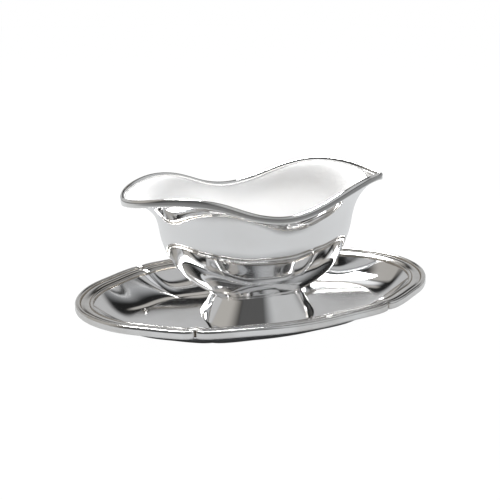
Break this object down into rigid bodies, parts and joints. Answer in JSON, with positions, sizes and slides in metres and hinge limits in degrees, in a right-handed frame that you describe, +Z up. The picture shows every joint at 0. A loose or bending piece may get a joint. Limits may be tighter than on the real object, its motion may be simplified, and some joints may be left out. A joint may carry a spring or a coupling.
{
  "type": "gravy boat",
  "caption": "Silver-plated gravy boat with a round lip and a pointed pouring lip, on a flared foot screwed to its own oval tray with a reeded, notched border.",
  "frame": {"origin": "centre of the tray's flat underside, on the table", "axes": "+X along the tray towards the pointed pouring lip, +Y across it, +Z up"},
  "size_m": [0.24, 0.15, 0.0944],
  "materials": {
    "silver_bowl": "mirror-polished silver plate",
    "silver_tray": "mirror-polished silver plate with fine wear",
    "silver_border": "polished silver plate, darker in the grooves",
    "brass_fixing": "plain turned brass"
  },
  "bodies": {
    "root": {"boat_bowl": "silver_bowl", "boat_rim_wire": "silver_border", "pedestal_foot": "silver_bowl", "tray_pan": "silver_tray", "border_front": "silver_border", "border_back": "silver_border", "border_left": "silver_border", "border_right": "silver_border", "stud_plate": "brass_fixing", "threaded_stud": "brass_fixing", "washer": "brass_fixing", "fixing_nut": "brass_fixing"}
  },
  "joints": []
}
